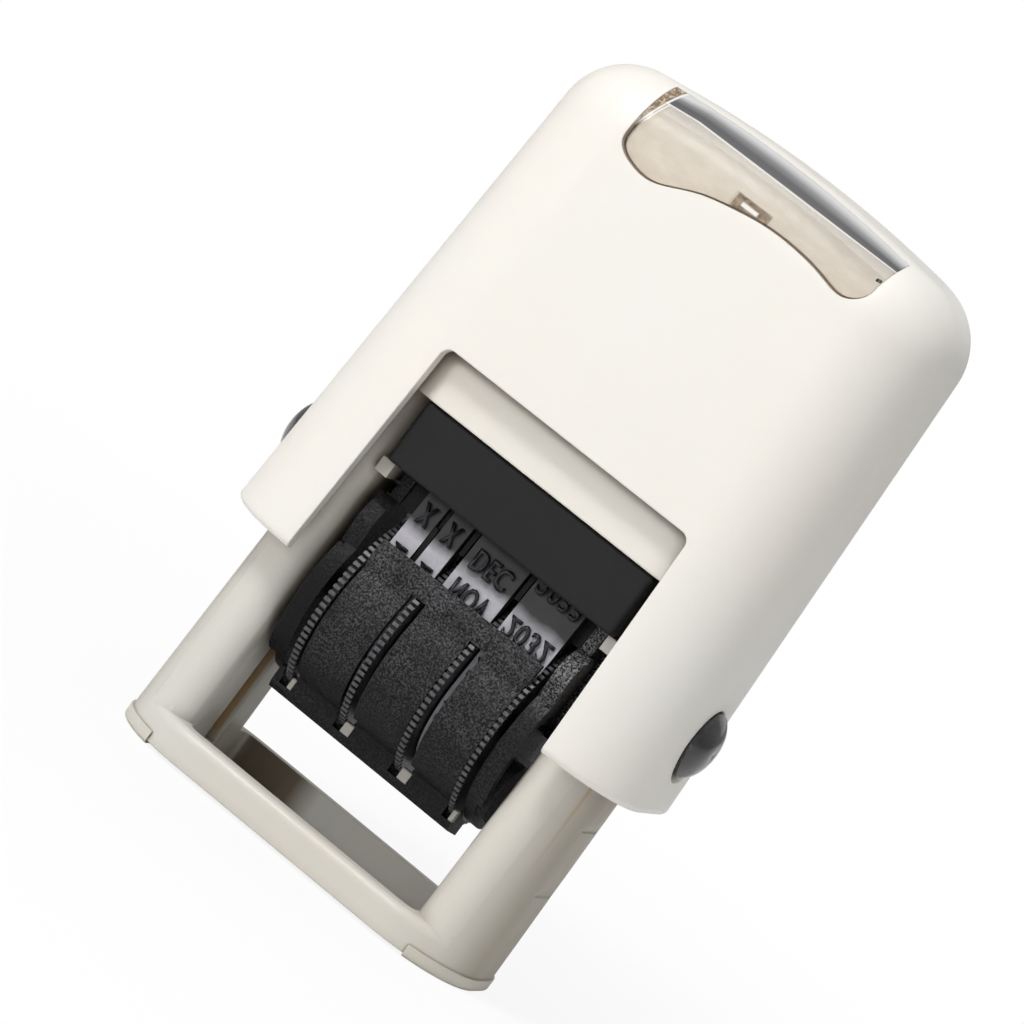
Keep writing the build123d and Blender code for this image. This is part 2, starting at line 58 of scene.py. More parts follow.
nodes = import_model()["nodes"]
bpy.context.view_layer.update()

wheel_low, wheel_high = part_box("year_wheel")
WHEEL_Z = (wheel_low[2] + wheel_high[2]) / 2 / MM      # height of the thumbwheels' axis


# ------------------------------------------------------------------ shader graph
class Graph:
    """The node tree of a material or world, built a step at a time."""

    def __init__(self, owner, output="OutputMaterial", space="Object"):
        self.owner = owner
        owner.use_nodes = True
        self.tree = owner.node_tree
        self.tree.nodes.clear()
        self.output = self.node(output)
        self.place = self.node("TexCoord").outputs[space]

    def feed(self, socket, value):
        """Link a socket to an input, or set the input to a plain value."""
        if isinstance(value, bpy.types.NodeSocket):
            self.tree.links.new(value, socket)
        elif socket.type == "RGBA" and len(value) == 3:
            socket.default_value = (*value, 1.0)
        else:
            socket.default_value = value

    def node(self, kind, inputs=None, **settings):
        node = self.tree.nodes.new("ShaderNode" + kind)
        for key, value in settings.items():
            setattr(node, key, value)
        for key, value in (inputs or {}).items():
            self.feed(node.inputs[key], value)
        return node

    def finish(self, shader):
        self.feed(self.output.inputs["Surface"], shader)
        return self.owner

    # textures
    def noise(self, per_mm, detail=3.0, rough=0.5, distort=0.0, stretch=None):
        vector = self.place
        if stretch:
            mapping = self.node("Mapping", {"Vector": vector, "Scale": stretch})
            vector = mapping.outputs[0]
        return self.node("TexNoise", {
            "Scale": per_mm * 1000.0, "Detail": detail, "Roughness": rough,
            "Distortion": distort, "Vector": vector}).outputs["Fac"]

    def voronoi(self, per_mm):
        inputs = {"Scale": per_mm * 1000.0, "Vector": self.place}
        return self.node("TexVoronoi", inputs).outputs["Distance"]

    # places
    def axes(self, vector):
        """The X, Y and Z of a vector."""
        return tuple(self.node("SeparateXYZ", {0: vector}).outputs)

    def normal_axes(self):
        return self.axes(self.node("NewGeometry").outputs["Normal"])

    # numbers
    def math(self, operation, *values):
        return self.node("Math", dict(enumerate(values)), operation=operation).outputs[0]

    def product(self, first, *others):
        for other in others:
            first = self.math("MULTIPLY", first, other)
        return first

    def absolute(self, value):
        return self.math("ABSOLUTE", value)

    def squared(self, value):
        return self.math("POWER", self.absolute(value), 2.0)

    def hypot(self, a, b):
        return self.math("SQRT", self.math("ADD", self.squared(a), self.squared(b)))

    def remap(self, value, span, to):
        """Carry the range span over to the range to, clamped at both ends."""
        return self.node("MapRange", {
            "From Min": span[0], "From Max": span[1], "To Min": to[0], "To Max": to[1],
            "Value": value}).outputs["Result"]

    def rise(self, value, span, top=1.0):
        """From 0 up to top across the span."""
        return self.remap(value, span, to=(0.0, top))

    def fall(self, value, span, top=1.0):
        """From top down to 0 across the span."""
        return self.remap(value, span, to=(top, 0.0))

    def between(self, value, rising, falling):
        """1 between the two soft limits, 0 outside them."""
        return self.product(self.rise(value, rising), self.fall(value, falling))

    # colours
    def mix(self, factor, a, b, blend="MIX"):
        inputs = {0: factor, 6: a, 7: b}
        return self.node("Mix", inputs, data_type="RGBA", blend_type=blend).outputs[2]

    def tint(self, factor, colour, by):
        return self.mix(factor, colour, by, "MULTIPLY")

    def ramp(self, factor, stops):
        """A colour ramp; stops are (position, colour)."""
        node = self.node("ValToRGB", {"Fac": factor})
        elements = node.color_ramp.elements
        while len(elements) < len(stops):
            elements.new(0.5)
        for element, (position, colour) in zip(elements, stops):
            element.position = position
            element.color = (*colour, 1.0)
        return node.outputs["Color"]

    # surface detail
    def bump(self, height, depth_mm, strength=1.0, normal=None):
        inputs = {"Strength": strength, "Distance": depth_mm * MM, "Height": height}
        if normal is not None:
            inputs["Normal"] = normal
        return self.node("Bump", inputs).outputs["Normal"]

    def soft_edges(self, mm):
        return self.node("Bevel", {"Radius": mm * MM}, samples=4).outputs["Normal"]

    def edge_mask(self, mm, span=(0.02, 0.28)):
        """High on edges, where the rounded normal leaves the true one.

        The mask runs over the range span."""
        rounded = self.soft_edges(mm)
        true = self.node("NewGeometry").outputs["Normal"]
        agree = self.node("VectorMath", {0: rounded, 1: true}, operation="DOT_PRODUCT")
        away = self.math("SUBTRACT", 1.0, agree.outputs["Value"])
        return self.rise(away, span)

    def openness(self, mm, samples=6):
        """Ambient occlusion: 1 in the open, 0 deep in a corner."""
        inputs = {"Distance": mm * MM}
        return self.node("AmbientOcclusion", inputs, samples=samples).outputs["AO"]

    # shaders
    def principled(self, **inputs):
        """A principled shader; underscores in the input names stand for spaces."""
        inputs = {key.replace("_", " "): value for key, value in inputs.items()}
        return self.node("BsdfPrincipled", inputs).outputs[0]

    def mix_shader(self, factor, a, b):
        return self.node("MixShader", {0: factor, 1: a, 2: b}).outputs[0]


def new_material(name):
    return Graph(bpy.data.materials.new(name))


# ------------------------------------------------------------------ families of materials
def plastic(name, base, warm, rough, bump_mm, grain, edge_mm, edge_gain, crevice_shade, crevice_shade_mm=1.4,
            spec=0.5, scuff=0.12, scatter=0.0, deep=None, zones=None):
    """Moulded plastic: slow drift of tone, fine grain, worn edges, painted shade in crevices
    and faint scuffs.

    deep is a tint of painted shade for wide hollows; zones is a function that paints
    light and shade at chosen places."""
    mat = new_material(name)
    drift = mat.noise(per_mm=0.045, detail=2.0, rough=0.45)
    colour = mat.mix(mat.rise(drift, (0.3, 0.7)), base, warm)
    speck = mat.noise(per_mm=1.6, detail=2.0, rough=0.6)
    colour = mat.tint(mat.rise(speck, (0.35, 0.75), top=0.05), colour, by=(0.98, 0.98, 0.98))
    # painted shade: darker in crevices, found by ambient occlusion
    crevice_shade_mask = mat.fall(mat.openness(crevice_shade_mm), (0.25, 0.95), top=0.42)
    colour = mat.tint(crevice_shade_mask, colour, by=crevice_shade)
    # painted shade: darker in wide hollows, found by ambient occlusion
    if deep:
        hollow = mat.fall(mat.openness(9.0, samples=8), (0.05, 0.50), top=0.85)
        colour = mat.tint(hollow, colour, by=deep)
    if zones:
        colour = zones(mat, colour)

    # lighter edges, worn in patches
    patches = mat.noise(per_mm=0.7, rough=0.6)
    edge = mat.product(mat.edge_mask(edge_mm), mat.remap(patches, (0.35, 0.65), to=(0.15, 1.0)))
    lighter = tuple(min(1.0, c * (1.0 + edge_gain) + edge_gain * 0.02) for c in base)
    colour = mat.mix(mat.product(edge, 0.5), colour, lighter)

    # roughness: uneven, raised by long scuffs, lowered on the handled edges
    uneven = mat.noise(per_mm=0.25, detail=4.0, rough=0.6)
    roughness = mat.remap(uneven, (0.3, 0.7), to=(rough - 0.06, rough + 0.07))
    scuffs = mat.noise(per_mm=0.55, rough=0.75, distort=0.2, stretch=(1.0, 1.0, 0.06))
    roughness = mat.math("ADD", roughness, mat.rise(scuffs, (0.60, 0.74), top=scuff))
    roughness = mat.math("SUBTRACT", roughness, mat.product(edge, 0.12))

    # relief: rounded edges, mould grain, then a slow wave
    normal = mat.soft_edges(edge_mm)
    normal = mat.bump(mat.noise(grain, rough=0.55), bump_mm, normal=normal)
    wave = mat.noise(per_mm=0.035, detail=1.0, rough=0.4)
    normal = mat.bump(wave, depth_mm=0.10, strength=0.6, normal=normal)

    scattering = {}
    if scatter:
        scattering = dict(Subsurface_Weight=scatter, Subsurface_Radius=(1.0, 0.85, 0.6),
                          Subsurface_Scale=1.2 * MM)
    return mat.finish(mat.principled(Base_Color=colour, Roughness=roughness, Normal=normal,
                                     Specular_IOR_Level=spec, **scattering))


def frame_light_and_shade(mat, colour):
    """Painted light and shade at chosen places of the base frame."""
    x, y, z = mat.axes(mat.place)
    normal_x, normal_y, _ = mat.normal_axes()
    across = mat.absolute(x)

    # painted shade: the inner walls turn a dark amber
    inner = mat.product(mat.fall(across, (0.01385, 0.01400)),
                        mat.rise(mat.absolute(normal_x), (0.6, 0.9)))
    depth = mat.product(mat.rise(y, (-0.0088, -0.0020)),
                        mat.remap(y, (0.0018, 0.0040), to=(1.0, 0.75)))
    height = mat.remap(z, (0.004, 0.022), to=(0.60, 1.0))
    amber = mat.product(inner, mat.product(depth, height))
    colour = mat.tint(amber, colour, by=(0.27, 0.22, 0.165))

    # painted shade: a warm darkening inside the hollow columns, seen through the slots
    cavity_shade = mat.product(
        mat.between(across, (0.01380, 0.01400), (0.0191, 0.01935)),
        mat.fall(mat.absolute(y), (0.0052, 0.0056)),
        mat.rise(z, (0.0020, 0.0032)))
    colour = mat.tint(cavity_shade, colour, by=(0.85, 0.62, 0.38))

    # painted shade: the outer flanks are darker than the front
    flank_shade = mat.product(mat.rise(across, (0.0165, 0.0195)),
                        mat.rise(normal_y, (-0.75, -0.25)), 0.9)
    colour = mat.tint(flank_shade, colour, by=(0.56, 0.52, 0.46))

    # painted light: the front of the top block is brightened
    top_front_light = mat.product(mat.rise(z, (0.0402, 0.0406)), mat.fall(normal_y, (-0.95, -0.7)))
    colour = mat.tint(top_front_light, colour, by=(1.22, 1.21, 1.22))

    # painted shadow: the rear bar's inner face is dark brown beside the left column, in the
    # column's shadow
    rear_bar_shadow = mat.product(
        mat.rise(y, (0.0074, 0.0078)), mat.fall(z, (0.0040, 0.0042)),
        mat.fall(normal_y, (-0.9, -0.6)), mat.fall(x, (-0.0068, -0.0040)))
    return mat.tint(rear_bar_shadow, colour, by=(0.26, 0.215, 0.16))


def pebbled_black(name, base, spark, rough, grain, bump_mm, patch_low, fade):
    """Black plastic with fine grey sparkle painted on its pebbled grain as highlights.

    patch_low is the painted sparkle's strength in its weakest patches; fade masks it by place."""
    mat = new_material(name)
    pebbles = mat.voronoi(grain * 0.8)
    fine = mat.noise(grain, detail=2.0, rough=0.6)
    relief = mat.math("ADD", mat.product(pebbles, 0.9), mat.product(fine, 1.2))
    # painted highlights: grey sparkle on the grain's crests, in patches, masked by place
    crests = mat.rise(fine, (0.42, 0.66))
    patches = mat.noise(per_mm=0.22, detail=2.0)
    patches = mat.remap(patches, (0.35, 0.65), to=(patch_low, 1.0))
    colour = mat.mix(mat.product(crests, patches, fade(mat)), base, spark)
    colour = mat.mix(mat.product(mat.edge_mask(0.16), 0.35), colour, (0.10, 0.10, 0.105))
    # painted shade: darker in crevices, found by ambient occlusion
    crevice_shade_mask = mat.fall(mat.openness(1.2), (0.15, 0.9), top=0.7)
    colour = mat.tint(crevice_shade_mask, colour, by=(0.15, 0.15, 0.15))
    return mat.finish(mat.principled(
        Base_Color=colour,
        Roughness=mat.remap(fine, (0.35, 0.7), to=(rough - 0.12, rough + 0.1)),
        Normal=mat.bump(relief, bump_mm, normal=mat.soft_edges(0.14)),
        Specular_IOR_Level=0.15))


# the painted sparkle weakens towards the bottom
def fade_downward(mat):
    return mat.remap(mat.axes(mat.place)[2], (0.0125, 0.0235), to=(0.22, 1.0))


# the painted sparkle is kept to the right and weakens lower down
def fade_left_and_downward(mat):
    x, _, z = mat.axes(mat.place)
    return mat.product(mat.remap(x, (-0.004, 0.008), to=(0.12, 1.0)),
                       mat.remap(z, (0.0235, 0.0275), to=(0.1, 1.0)))


def metal(name, base, rough, stretch):
    """Drawn metal, streaked along one axis, with patches of tarnish."""
    mat = new_material(name)
    streak = mat.noise(per_mm=2.2, detail=4.0, rough=0.7, stretch=stretch)
    colour = mat.mix(mat.rise(streak, (0.3, 0.7)), tuple(c * 0.75 for c in base), base)
    tarnish = mat.rise(mat.noise(per_mm=0.3, rough=0.6), (0.5, 0.72), top=0.5)
    return mat.finish(mat.principled(
        Base_Color=mat.mix(tarnish, colour, (0.42, 0.36, 0.28)), Metallic=1.0,
        Roughness=mat.remap(streak, (0.3, 0.7), to=(rough - 0.08, rough + 0.14)),
        Normal=mat.bump(streak, depth_mm=0.006, normal=mat.soft_edges(0.12))))


# ------------------------------------------------------------------ single materials
def wheel_plastic():
    """Glossy black, with painted highlights: greyer on the tips of the thumbwheels' teeth."""
    mat = new_material("wheel_black_plastic")
    mottle = mat.noise(per_mm=4.0, rough=0.6)
    _, y, z = mat.axes(mat.place)
    radius = mat.hypot(y, mat.math("SUBTRACT", z, WHEEL_Z * MM))
    # painted highlights on the tips of the teeth
    tip_glint = mat.rise(radius, (0.00958, 0.00980))
    grey = mat.product(tip_glint, mat.remap(mottle, (0.35, 0.65), to=(0.45, 1.0)))
    return mat.finish(mat.principled(
        Base_Color=mat.mix(grey, (0.004, 0.004, 0.005), (0.11, 0.11, 0.115)),
        Roughness=mat.remap(mottle, (0.3, 0.7), to=(0.30, 0.46)),
        Normal=mat.bump(mottle, depth_mm=0.015, normal=mat.soft_edges(0.08)),
        Specular_IOR_Level=0.35))


def button_plastic():
    """Polished black with a faint smear and fine wiping marks."""
    mat = new_material("polished_black_plastic")
    smear = mat.noise(per_mm=0.5, detail=4.0, rough=0.6, distort=0.5)
    wiping = mat.noise(per_mm=1.4, detail=4.0, rough=0.7, stretch=(1.0, 1.0, 0.08))
    return mat.finish(mat.principled(
        Base_Color=mat.mix(mat.rise(smear, (0.35, 0.7)),
                           (0.022, 0.022, 0.023), (0.042, 0.042, 0.044)),
        Roughness=mat.math("ADD", mat.remap(smear, (0.3, 0.75), to=(0.10, 0.24)),
                           mat.rise(wiping, (0.55, 0.75), top=0.10)),
        Normal=mat.bump(wiping, depth_mm=0.003, normal=mat.soft_edges(0.15)),
        Coat_Weight=0.6, Coat_Roughness=0.05))


def band_rubber():
    """Silvery grey rubber with a talc bloom; painted shadow over the top, painted shade on
    its sides.
    """
    mat = new_material("date_band_rubber")
    bloom = mat.noise(per_mm=0.9, detail=4.0, rough=0.65)
    fine = mat.noise(per_mm=9.0, detail=2.0)
    colour = mat.mix(mat.rise(bloom, (0.3, 0.75)), (0.40, 0.39, 0.43), (0.54, 0.53, 0.57))
    _, _, z = mat.axes(mat.place)
    # painted shadow: dark over the top of the band, with a ragged edge
    ragged = mat.product(mat.noise(per_mm=0.5, detail=2.0), 0.0009)
    top = mat.rise(mat.math("ADD", z, ragged), (0.02985, 0.03125))
    colour = mat.mix(top, colour, (0.036, 0.036, 0.038))
    # painted shade: dark on the band's sides
    side = mat.rise(mat.absolute(mat.normal_axes()[0]), (0.4, 0.7))
    colour = mat.mix(side, colour, (0.018, 0.018, 0.02))
    return mat.finish(mat.principled(
        Base_Color=colour, Roughness=mat.remap(bloom, (0.3, 0.7), to=(0.36, 0.50)),
        Normal=mat.bump(fine, depth_mm=0.012, strength=0.8, normal=mat.soft_edges(0.1)),
        Specular_IOR_Level=0.4))


def type_rubber():
    """Inked faces of the raised type."""
    mat = new_material("inked_type_rubber")
    blot = mat.noise(per_mm=2.0, detail=4.0, rough=0.6)
    return mat.finish(mat.principled(
        Base_Color=mat.mix(mat.rise(blot, (0.35, 0.7)),
                           (0.008, 0.008, 0.010), (0.020, 0.020, 0.026)),
        Roughness=mat.remap(blot, (0.3, 0.7), to=(0.26, 0.5)),
        Normal=mat.bump(mat.noise(per_mm=8.0), depth_mm=0.01, strength=0.7)))


def index_card():
    """Fibrous card behind the index window."""
    mat = new_material("cream_card")
    fibre = mat.noise(per_mm=1.1, detail=5.0, rough=0.75, distort=0.6, stretch=(0.35, 1.0, 1.0))
    tooth = mat.noise(per_mm=6.0, rough=0.6)
    x, _, z = mat.axes(mat.place)
    colour = mat.mix(mat.rise(fibre, (0.32, 0.7)), (0.70, 0.635, 0.555), (0.80, 0.745, 0.665))
    # painted shade: faces turned upward are darkened
    facing_up_shade = mat.rise(mat.normal_axes()[2], (0.02, 0.75))
    colour = mat.tint(facing_up_shade, colour, by=(0.60, 0.60, 0.61))

    # amber end, top left
    end = mat.product(mat.fall(x, (-0.01235, -0.01165)), mat.rise(z, (0.0705, 0.0735)), 0.8)
    colour = mat.mix(end, colour, (0.36, 0.27, 0.17))

    # dark catch seen through the pry notch, with a painted glint in it
    catch = mat.product(mat.between(x, (-0.00150, -0.00130), (0.00230, 0.00250)),
                        mat.between(z, (0.0701, 0.0702), (0.07170, 0.07190)))
    mottle = mat.noise(per_mm=1.3, detail=4.0, rough=0.7)
    amber = mat.mix(mat.rise(mottle, (0.35, 0.65)), (0.12, 0.085, 0.055), (0.42, 0.33, 0.24))
    colour = mat.mix(catch, colour, amber)
    glint_spot = mat.product(mat.between(x, (-0.00070, -0.00050), (0.00110, 0.00130)),
                       mat.between(z, (0.07085, 0.07100), (0.07125, 0.07140)))
    colour = mat.mix(glint_spot, colour, (0.86, 0.84, 0.82))
    return mat.finish(mat.principled(
        Base_Color=colour, Roughness=mat.remap(tooth, (0.3, 0.7), to=(0.7, 0.9)),
        Normal=mat.bump(tooth, depth_mm=0.02, strength=0.7)))


def pad_felt():
    """Ink-soaked felt, wetter in patches."""
    mat = new_material("soaked_felt")
    felt = mat.noise(per_mm=3.2, detail=5.0, rough=0.8, distort=1.2)
    wet = mat.noise(per_mm=0.35, rough=0.6)
    return mat.finish(mat.principled(
        Base_Color=mat.mix(mat.rise(felt, (0.3, 0.75)),
                           (0.006, 0.006, 0.012), (0.03, 0.03, 0.055)),
        Roughness=mat.remap(wet, (0.35, 0.65), to=(0.25, 0.8)),
        Normal=mat.bump(felt, depth_mm=0.09)))


def see_through(mat, micro):
    """Transparent with a hazy gloss, with painted shade along the edges."""
    fresnel = mat.node("Fresnel", {"IOR": 1.5, "Normal": micro}).outputs[0]
    haze = mat.noise(per_mm=0.8, detail=4.0, rough=0.7)
    gloss = mat.node("BsdfGlossy", {
        "Color": (1, 1, 1), "Roughness": mat.remap(haze, (0.3, 0.7), to=(0.26, 0.42)),
        "Normal": micro}).outputs[0]
    # painted shade: the see-through is darkened and browned along the edges
    edge_shade = mat.edge_mask(0.16, span=(0.04, 0.30))
    glass = mat.node("BsdfTransparent", {
        "Color": mat.mix(edge_shade, (0.99, 0.985, 0.975), (0.50, 0.44, 0.38))}).outputs[0]
    return mat.mix_shader(mat.product(fresnel, 0.20), glass, gloss)


def window_plastic():
    """Clear window: a painted reflection on the fold over its top edge, an amber left end with
    painted glints and a painted highlight, a gate mark at right.
    """
    mat = new_material("clear_window_plastic")
    micro = mat.bump(mat.noise(per_mm=3.5, detail=2.0), depth_mm=0.02, strength=0.7,
                     normal=mat.soft_edges(0.12))
    clear = see_through(mat, micro)
    x, _, z = mat.axes(mat.place)

    # height above the crease, which drops a little at its left end
    drop = mat.remap(x, (-0.0125, -0.0085), to=(0.00040, 0.0))
    over = mat.math("SUBTRACT", mat.math("ADD", z, drop), 0.07440)
    # height of the fold, falling with the square of the distance from the middle
    sag = mat.product(mat.squared(mat.product(x, 100.0)), 0.00040)
    strip = mat.math("DIVIDE", over, mat.math("SUBTRACT", 0.00185, sag))
    # painted reflection: a light crease line, then dark fading to light
    fold = mat.ramp(strip, [
        (0.0, (0.72, 0.70, 0.67)), (0.06, (0.70, 0.68, 0.65)), (0.12, (0.11, 0.11, 0.115)),
        (0.40, (0.10, 0.10, 0.105)), (0.66, (0.22, 0.22, 0.225)), (0.98, (0.62, 0.62, 0.62))])
    # the painted reflection is paler towards the right
    paler_right = mat.product(mat.rise(x, (0.000, 0.013), top=0.35),
                              mat.rise(strip, (0.35, 0.8)))
    fold = mat.mix(paler_right, fold, (0.72, 0.72, 0.72))

    # left end: an amber band with painted glints, and a painted highlight line beside it, both
    # slanting
    slope = mat.product(mat.math("SUBTRACT", z, 0.0740), -0.22)
    slant = mat.math("ADD", x, slope)
    tall = mat.rise(z, (0.0709, 0.0719))
    amber_band = mat.product(mat.fall(slant, (-0.01215, -0.01200)), tall)
    highlight_line = mat.product(
        mat.between(slant, (-0.01208, -0.01198), (-0.01188, -0.01176)), tall)
    glints = mat.rise(mat.noise(per_mm=2.4, rough=0.7), (0.52, 0.60))
    amber = mat.mix(glints, (0.22, 0.155, 0.09), (0.55, 0.47, 0.37))
    fold = mat.mix(amber_band, fold, amber)
    fold = mat.mix(highlight_line, fold, (0.78, 0.77, 0.75))

    # round gate mark near the right end
    from_gate = mat.hypot(mat.math("SUBTRACT", x, 0.01335), mat.math("SUBTRACT", z, 0.07300))
    gate = mat.fall(from_gate, (0.00014, 0.00024))
    fold = mat.mix(gate, fold, (0.01, 0.01, 0.01))
    skin = mat.principled(Base_Color=fold, Roughness=0.22, Specular_IOR_Level=0.25,
                          Normal=micro)

    # the skin shows only on faces turned to the front or upward
    _, normal_y, normal_z = mat.normal_axes()
    outer = mat.rise(mat.math("SUBTRACT", normal_z, normal_y), (0.3, 0.5))
    left_end = mat.product(mat.math("MAXIMUM", amber_band, highlight_line), 0.8)
    opaque = mat.math("MAXIMUM", mat.rise(over, (-0.00003, 0.00003)), left_end)
    opaque = mat.product(mat.math("MAXIMUM", opaque, gate), outer)
    return mat.finish(mat.mix_shader(opaque, clear, skin))


# ------------------------------------------------------------------ materials on the pieces
looks = {
    "cap": plastic(
        "ivory_satin_plastic", base=(0.83, 0.816, 0.772), warm=(0.845, 0.806, 0.752),
        rough=0.37, bump_mm=0.006, grain=5.0, edge_mm=0.22, edge_gain=0.05, scatter=0.12,
        crevice_shade=(0.62, 0.53, 0.42), spec=0.45, deep=(0.62, 0.52, 0.42)),
    "frame": plastic(
        "warm_grey_satin_plastic", base=(0.655, 0.645, 0.60), warm=(0.665, 0.63, 0.565),
        rough=0.40, bump_mm=0.006, grain=5.0, edge_mm=0.25, edge_gain=0.10, scatter=0.10,
        crevice_shade=(0.50, 0.42, 0.34), spec=0.45, deep=(0.34, 0.28, 0.20), zones=frame_light_and_shade),
    "shoe": plastic(
        "cream_soft_plastic", base=(0.65, 0.63, 0.57), warm=(0.63, 0.59, 0.51),
        rough=0.46, bump_mm=0.01, grain=3.5, edge_mm=0.2, edge_gain=0.06, scatter=0.10,
        crevice_shade=(0.45, 0.36, 0.26), crevice_shade_mm=0.8),
    "tray": plastic(
        "charcoal_fine_plastic", base=(0.016, 0.016, 0.017), warm=(0.020, 0.0195, 0.0195),
        rough=0.52, bump_mm=0.010, grain=7.0, edge_mm=0.12, edge_gain=1.2,
        crevice_shade=(0.5, 0.5, 0.5), scuff=0.2, spec=0.16),
    "yoke": plastic(
        "dark_acetal", base=(0.075, 0.075, 0.08), warm=(0.09, 0.088, 0.085),
        rough=0.42, bump_mm=0.008, grain=5.0, edge_mm=0.2, edge_gain=0.5,
        crevice_shade=(0.5, 0.5, 0.5)),
    "peg": plastic(
        "light_acetal", base=(0.40, 0.385, 0.355), warm=(0.36, 0.34, 0.30),
        rough=0.45, bump_mm=0.01, grain=5.0, edge_mm=0.08, edge_gain=0.2,
        crevice_shade=(0.4, 0.35, 0.3), crevice_shade_mm=0.5),
    "guard": pebbled_black(
        "pebbled_black_plastic", base=(0.005, 0.005, 0.006), spark=(0.105, 0.105, 0.11),
        rough=0.46, grain=5.2, bump_mm=0.045, patch_low=0.5, fade=fade_downward),
    "cheek": pebbled_black(
        "cheek_black_plastic", base=(0.005, 0.005, 0.006), spark=(0.34, 0.34, 0.345),
        rough=0.44, grain=5.0, bump_mm=0.05, patch_low=0.6, fade=fade_left_and_downward),
    "bridge": pebbled_black(
        "bridge_black_plastic", base=(0.006, 0.006, 0.007), spark=(0.02, 0.02, 0.022),
        rough=0.5, grain=5.0, bump_mm=0.02, patch_low=0.4, fade=fade_downward),
    "wheel": wheel_plastic(),
    "wire": metal("zinc_wire", base=(0.60, 0.60, 0.61), rough=0.28, stretch=(1.0, 1.0, 0.05)),
    "pin": metal("drawn_steel", base=(0.56, 0.56, 0.57), rough=0.25, stretch=(0.05, 1.0, 1.0)),
    "button": button_plastic(),
    "band": band_rubber(),
    "type": type_rubber(),
    "card": index_card(),
    "felt": pad_felt(),
    "clear": window_plastic(),
}

PIECES = {
    "cap": ["cap_shell"],
    "clear": ["index_window"],
    "card": ["index_card"],
    "yoke": ["slide_yoke", "wheel_axle"],
    "frame": ["base_frame"],
    "shoe": ["left_foot_shoe", "right_foot_shoe"],
    "wire": ["main_spring"],
    "tray": ["pad_tray"],
    "felt": ["ink_pad"],
    "cheek": ["left_cheek", "right_cheek"],
    "guard": ["front_guard"],
    "bridge": ["band_bridge"],
    "peg": ["detent_pegs"],
    "pin": ["left_axle_pin", "right_axle_pin"],
    "wheel": ["day_tens_wheel", "day_units_wheel", "month_wheel", "year_wheel"],
    "band": ["day_tens_band", "day_units_band", "month_band", "year_band"],
    "button": ["left_button", "right_button"],
}
for look, pieces in PIECES.items():
    for piece in pieces:
        materials = nodes[piece].data.materials
        materials.clear()
        materials.append(looks[look])


# ------------------------------------------------------------------ path of the bands
_, band_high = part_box("month_band")
BAND_RADIUS = band_high[1] / MM          # outer radius on the wheel
BAND_TOP = band_high[2] / MM             # height of the outer face over the bridge
HALF_TOP = 5.55                          # half depth of the outer loop at the bridge's top
CORNER_RADIUS = 2.15                     # outer corner over the bridge
LEAN_DROP = 1.2                          # the sides' lean is worked out this far below the top
SIDE_STEPS, CORNER_STEPS, TOP_STEPS, WHEEL_STEPS = 30, 12, 12, 72


def mirrored(point):
    """The same point on the other side, front for back."""
    return Vector((-point.x, point.y))


def loop_path():
    """Outer loop of a band as (y, z) points.

    It starts at the front tangent point on the wheel, and runs up, over and round."""
    lean = math.asin((BAND_RADIUS - HALF_TOP) / (BAND_TOP - LEAN_DROP - WHEEL_Z))
    tangent_y = BAND_RADIUS * math.cos(lean)
    tangent_z = WHEEL_Z + BAND_RADIUS * math.sin(lean)
    start = Vector((-tangent_y, tangent_z))
    corner = Vector((-HALF_TOP, BAND_TOP))

    # round the corner between the leaning side and the level top
    down_side, along_top = (start - corner).normalized(), Vector((1, 0))
    angle = math.acos(max(-1, min(1, down_side.dot(along_top))))
    cut = CORNER_RADIUS / math.tan(angle / 2)
    side_end, top_start = corner + down_side * cut, corner + along_top * cut
    centre = top_start + Vector((0, -CORNER_RADIUS))
    turn_from = math.atan2(side_end.y - centre.y, side_end.x - centre.x) % math.tau
    turn_to = math.atan2(top_start.y - centre.y, top_start.x - centre.x)

    front = [start]
    front += [start.lerp(side_end, i / SIDE_STEPS) for i in range(1, SIDE_STEPS)]
    for i in range(CORNER_STEPS + 1):
        turn = turn_from + (turn_to - turn_from) * i / CORNER_STEPS
        front.append(centre + Vector((math.cos(turn), math.sin(turn))) * CORNER_RADIUS)
    top = [top_start.lerp(mirrored(top_start), i / TOP_STEPS) for i in range(1, TOP_STEPS)]
    rear = [mirrored(point) for point in reversed(front)]

    # round the wheel, back to front
    wheel = []
    rear_turn = math.atan2(tangent_z - WHEEL_Z, tangent_y)
    front_turn = -math.pi - rear_turn
    for i in range(1, WHEEL_STEPS):
        turn = rear_turn + (front_turn - rear_turn) * i / WHEEL_STEPS
        wheel.append(Vector((BAND_RADIUS * math.cos(turn),
                             WHEEL_Z + BAND_RADIUS * math.sin(turn))))
    return front + top + rear + wheel + [start]


PATH = loop_path()
TRAVEL = list(accumulate(((b - a).length for a, b in zip(PATH, PATH[1:])), initial=0.0))
LOOP_LENGTH = TRAVEL[-1]


def on_path(distance):
    """Point and outward normal of the loop at a distance along it."""
    distance = distance % LOOP_LENGTH
    i = min(bisect_right(TRAVEL, distance) - 1, len(PATH) - 2)
    part = (distance - TRAVEL[i]) / max(1e-9, TRAVEL[i + 1] - TRAVEL[i])
    along = (PATH[i + 1] - PATH[i]).normalized()
    return PATH[i].lerp(PATH[i + 1], part), Vector((-along.y, along.x))


# ------------------------------------------------------------------ raised mirrored type
TYPE_HEIGHT = 2.2
RELIEF = 0.45                 # how far the faces stand off the band
SINK = 0.03                   # how far the letters' feet reach into it
CAP_HEIGHT = 0.70             # nominal letter height of the font at size 1
SIDE_MARGINS = 0.5            # least bare width of a band, both sides together
NARROW_ONE = 0.62             # a lone "1" against the other digits

